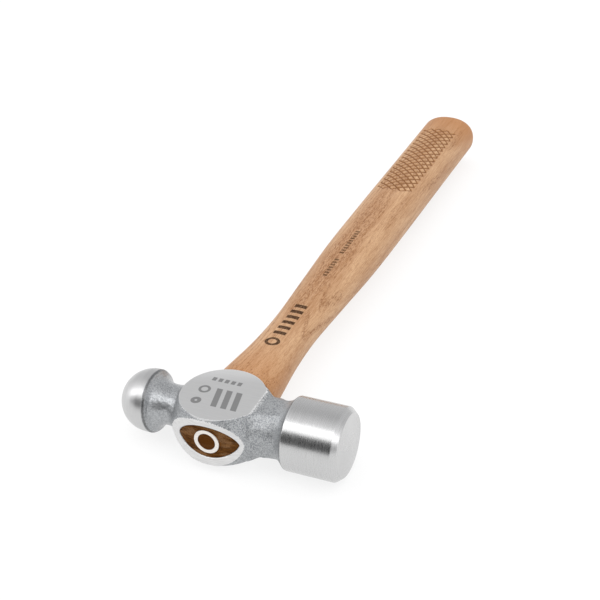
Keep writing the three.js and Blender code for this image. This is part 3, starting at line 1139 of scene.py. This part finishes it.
def end_grain_material():
    """Dark oiled end grain with paler streaks, darkest inside the wedge."""
    surface = Surface("oiled_end_grain")
    x, _, z = surface.axes(surface.place)
    streak = surface.grain((0.2, 0.5, 1.5), 3, 0.65, 0.5, turn=(0, 0.15, 0))
    dots = surface.noise(2.6, 2, 0.6)
    pale = surface.grain((0.13, 0.1, 0.3), 2, 0.5, shift=(2, 5, 4))
    colour = surface.mix(surface.ramp(streak, 0.35, 0.65), END_GRAIN_DARK, END_GRAIN_BROWN)
    colour = surface.mix(surface.ramp(pale, 0.46, 0.62, 0, 0.5), colour, END_GRAIN_PALE)
    colour = surface.mix(surface.ramp(dots, 0.52, 0.64, 0, 0.8), colour, END_GRAIN_DARK)
    radius = surface.distance(x, z)
    core = surface.ramp(radius, WEDGE_INNER_RADIUS + 0.3, WEDGE_INNER_RADIUS - 0.3)
    colour = surface.mix(core * 0.8, colour, END_GRAIN_CORE)
    rough = surface.ramp(dots, 0.3, 0.7, 0.55, 0.75)
    normal = surface.bump(streak - dots * 0.6, END_GRAIN_RELIEF)
    return surface.finish(
        Base_Color=colour, Roughness=rough, Normal=normal, IOR=1.4, Specular_IOR_Level=0.05
    )


def wedge_material():
    surface = Surface("ground_wedge_steel")
    grind = surface.grain((0.3, 1.0, 5.0), 3, 0.6, turn=(0, 0.4, 0))
    spots = surface.noise(1.1)
    colour = surface.mix(surface.ramp(grind, 0.3, 0.7), grey(0.7, 0.06), grey(0.84, 0.045))
    colour = surface.mix(surface.ramp(spots, 0.55, 0.75, 0, 0.3), colour, grey(0.58, 0.07))
    rough = surface.ramp(grind, 0.2, 0.8, 0.3, 0.45)
    normal = surface.bump(grind, GRINDING_RELIEF)
    return surface.finish(Base_Color=colour, Roughness=rough, Normal=normal, Metallic=0.85)


# ---- Studio ----

CAMERA_AIM = Vector((-0.0122, -0.0546, 0.0161))
CAMERA_DISTANCE = 0.5797
CAMERA_AZIMUTH = 24.43
CAMERA_ELEVATION = 30.83
CAMERA_ROLL = -2.33
CAMERA_LENS = 69.64
CAMERA_SENSOR = 36.0
CAMERA_CLIP = 0.01, 50.0

FLOOR_HALF = 20.0
FLOOR_GLOW = 0.78

SOFTBOX_AIM = CENTRE - Vector((0.5, 0, 0))
SOFTBOX_ELEVATION = 54
SOFTBOX_DISTANCE = 1.0
SOFTBOX_SIZE = 5.0, 0.5
SOFTBOX_POWER = 15.0

DOME_ELEVATION = 75
DOME_SPREAD = 120
DOME_IRRADIANCE = 2.0

# The room's brightness by direction, from the camera's side (-1) over the top to behind (1)
ROOM_BRIGHTNESS = [(-0.8, 0.05), (-0.5, 0.3), (-0.3, 1.1), (0.0, 0.85), (0.4, 0.62), (1.0, 0.8)]
ROOM_BLUE = 1.01
ROOM_END_START, ROOM_END_FULL = 0.4, 0.95
ROOM_END_BOOST = 1.35  # towards both ends of the head


def direction(azimuth, elevation):
    """Azimuth 0 points along -Y and 90 along +X."""
    a, e = math.radians(azimuth), math.radians(elevation)
    return Vector((math.sin(a) * math.cos(e), -math.cos(a) * math.cos(e), math.sin(e)))


def make_camera():
    data = bpy.data.cameras.new("camera")
    data.lens, data.sensor_width = CAMERA_LENS, CAMERA_SENSOR
    data.clip_start, data.clip_end = CAMERA_CLIP
    camera = add_object("camera", data)
    back = direction(CAMERA_AZIMUTH, CAMERA_ELEVATION)
    turn = (-back).to_track_quat("-Z", "Y").to_matrix()
    turn = turn @ Matrix.Rotation(math.radians(CAMERA_ROLL), 3, "Z")
    camera.matrix_world = Matrix.Translation(CAMERA_AIM + back * CAMERA_DISTANCE) @ turn.to_4x4()
    bpy.context.scene.camera = camera


def make_light(name, kind, energy, elevation):
    """A light on the camera's side that shines down from that elevation."""
    light = add_object(name, bpy.data.lights.new(name, kind))
    light.data.energy = energy
    light.rotation_mode = "QUATERNION"
    light.rotation_quaternion = (-direction(0, elevation)).to_track_quat("-Z", "Y")
    return light


def make_softbox():
    """The long light that the polished steel shows as a bright band."""
    softbox = make_light("softbox", "AREA", SOFTBOX_POWER, SOFTBOX_ELEVATION)
    softbox.location = SOFTBOX_AIM + direction(0, SOFTBOX_ELEVATION) * SOFTBOX_DISTANCE
    softbox.data.shape = "RECTANGLE"
    softbox.data.size, softbox.data.size_y = SOFTBOX_SIZE
    softbox.visible_camera = False
    softbox.visible_diffuse = False


def make_dome():
    """Even light from a wide patch of sky, which no reflection shows."""
    dome = make_light("dome", "SUN", DOME_IRRADIANCE, DOME_ELEVATION)
    dome.data.angle = math.radians(DOME_SPREAD)
    dome.visible_glossy = False


def floor_material():
    """White, and lit a little from below like a light table, which keeps its shadows pale."""
    surface = Surface("white_floor")
    mottle = surface.grain((0.004,) * 3, 2, 0.5)
    return surface.finish(
        Base_Color=surface.mix(mottle, grey(0.2), grey(0.19)),
        Roughness=0.9,
        Emission_Color=grey(1.0),
        Emission_Strength=FLOOR_GLOW,
    )


def make_floor():
    mesh = bpy.data.meshes.new("floor")
    corners = [(a * FLOOR_HALF, b * FLOOR_HALF, 0) for a, b in ((-1, -1), (1, -1), (1, 1), (-1, 1))]
    mesh.from_pydata(corners, [], [(0, 1, 2, 3)])
    floor = add_object("floor", mesh)
    floor.data.materials.append(floor_material())


def make_world():
    """A room that is dim on the camera's side, bright overhead and pale behind the hammer."""
    world = bpy.data.worlds.new("studio")
    bpy.context.scene.world = world
    nodes = Nodes(world)
    across, along, _ = nodes.axes(nodes.value("TexCoord", output="Generated"))
    side = nodes.value("MapRange", {"Value": along, "From Min": -1, "From Max": 1})
    ramp = nodes.node("ValToRGB", {0: side})
    stops = ramp.color_ramp.elements
    for _ in ROOM_BRIGHTNESS[2:]:
        stops.new(0.5)
    for stop, (place_y, brightness) in zip(stops, ROOM_BRIGHTNESS):
        stop.position = (place_y + 1) / 2
        stop.color = (brightness, brightness, brightness * ROOM_BLUE, 1)
    boost = {
        "Value": abs(across),
        "From Min": ROOM_END_START,
        "From Max": ROOM_END_FULL,
        "To Min": 1,
        "To Max": ROOM_END_BOOST,
    }
    light = {"Color": Value(nodes, ramp.outputs[0]), "Strength": nodes.value("MapRange", boost)}
    nodes.node("OutputWorld", {"Surface": nodes.value("Background", light)})


make_camera()
make_world()
make_floor()
make_softbox()
make_dome()

# ---- Pieces ----

head = make_head()
head.data.materials.clear()
head.data.materials.append(head_material())
handle = make_handle()
handle.data.materials.append(handle_material())
handle.data.materials.append(end_grain_material())
for polygon in handle.data.polygons:
    polygon.material_index = int(polygon.center.y < CENTRE.y + END_GRAIN_Y * MM)
wedge = make_wedge()
wedge.data.materials.append(wedge_material())

for piece, node, slot in (
    (head, "head", "forged_steel"),
    (handle, "handle", "hickory"),
    (wedge, "ring_wedge", "wedge_steel"),
):
    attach(piece, "root")
    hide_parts(node)

bpy.context.scene.view_settings.view_transform = "Standard"
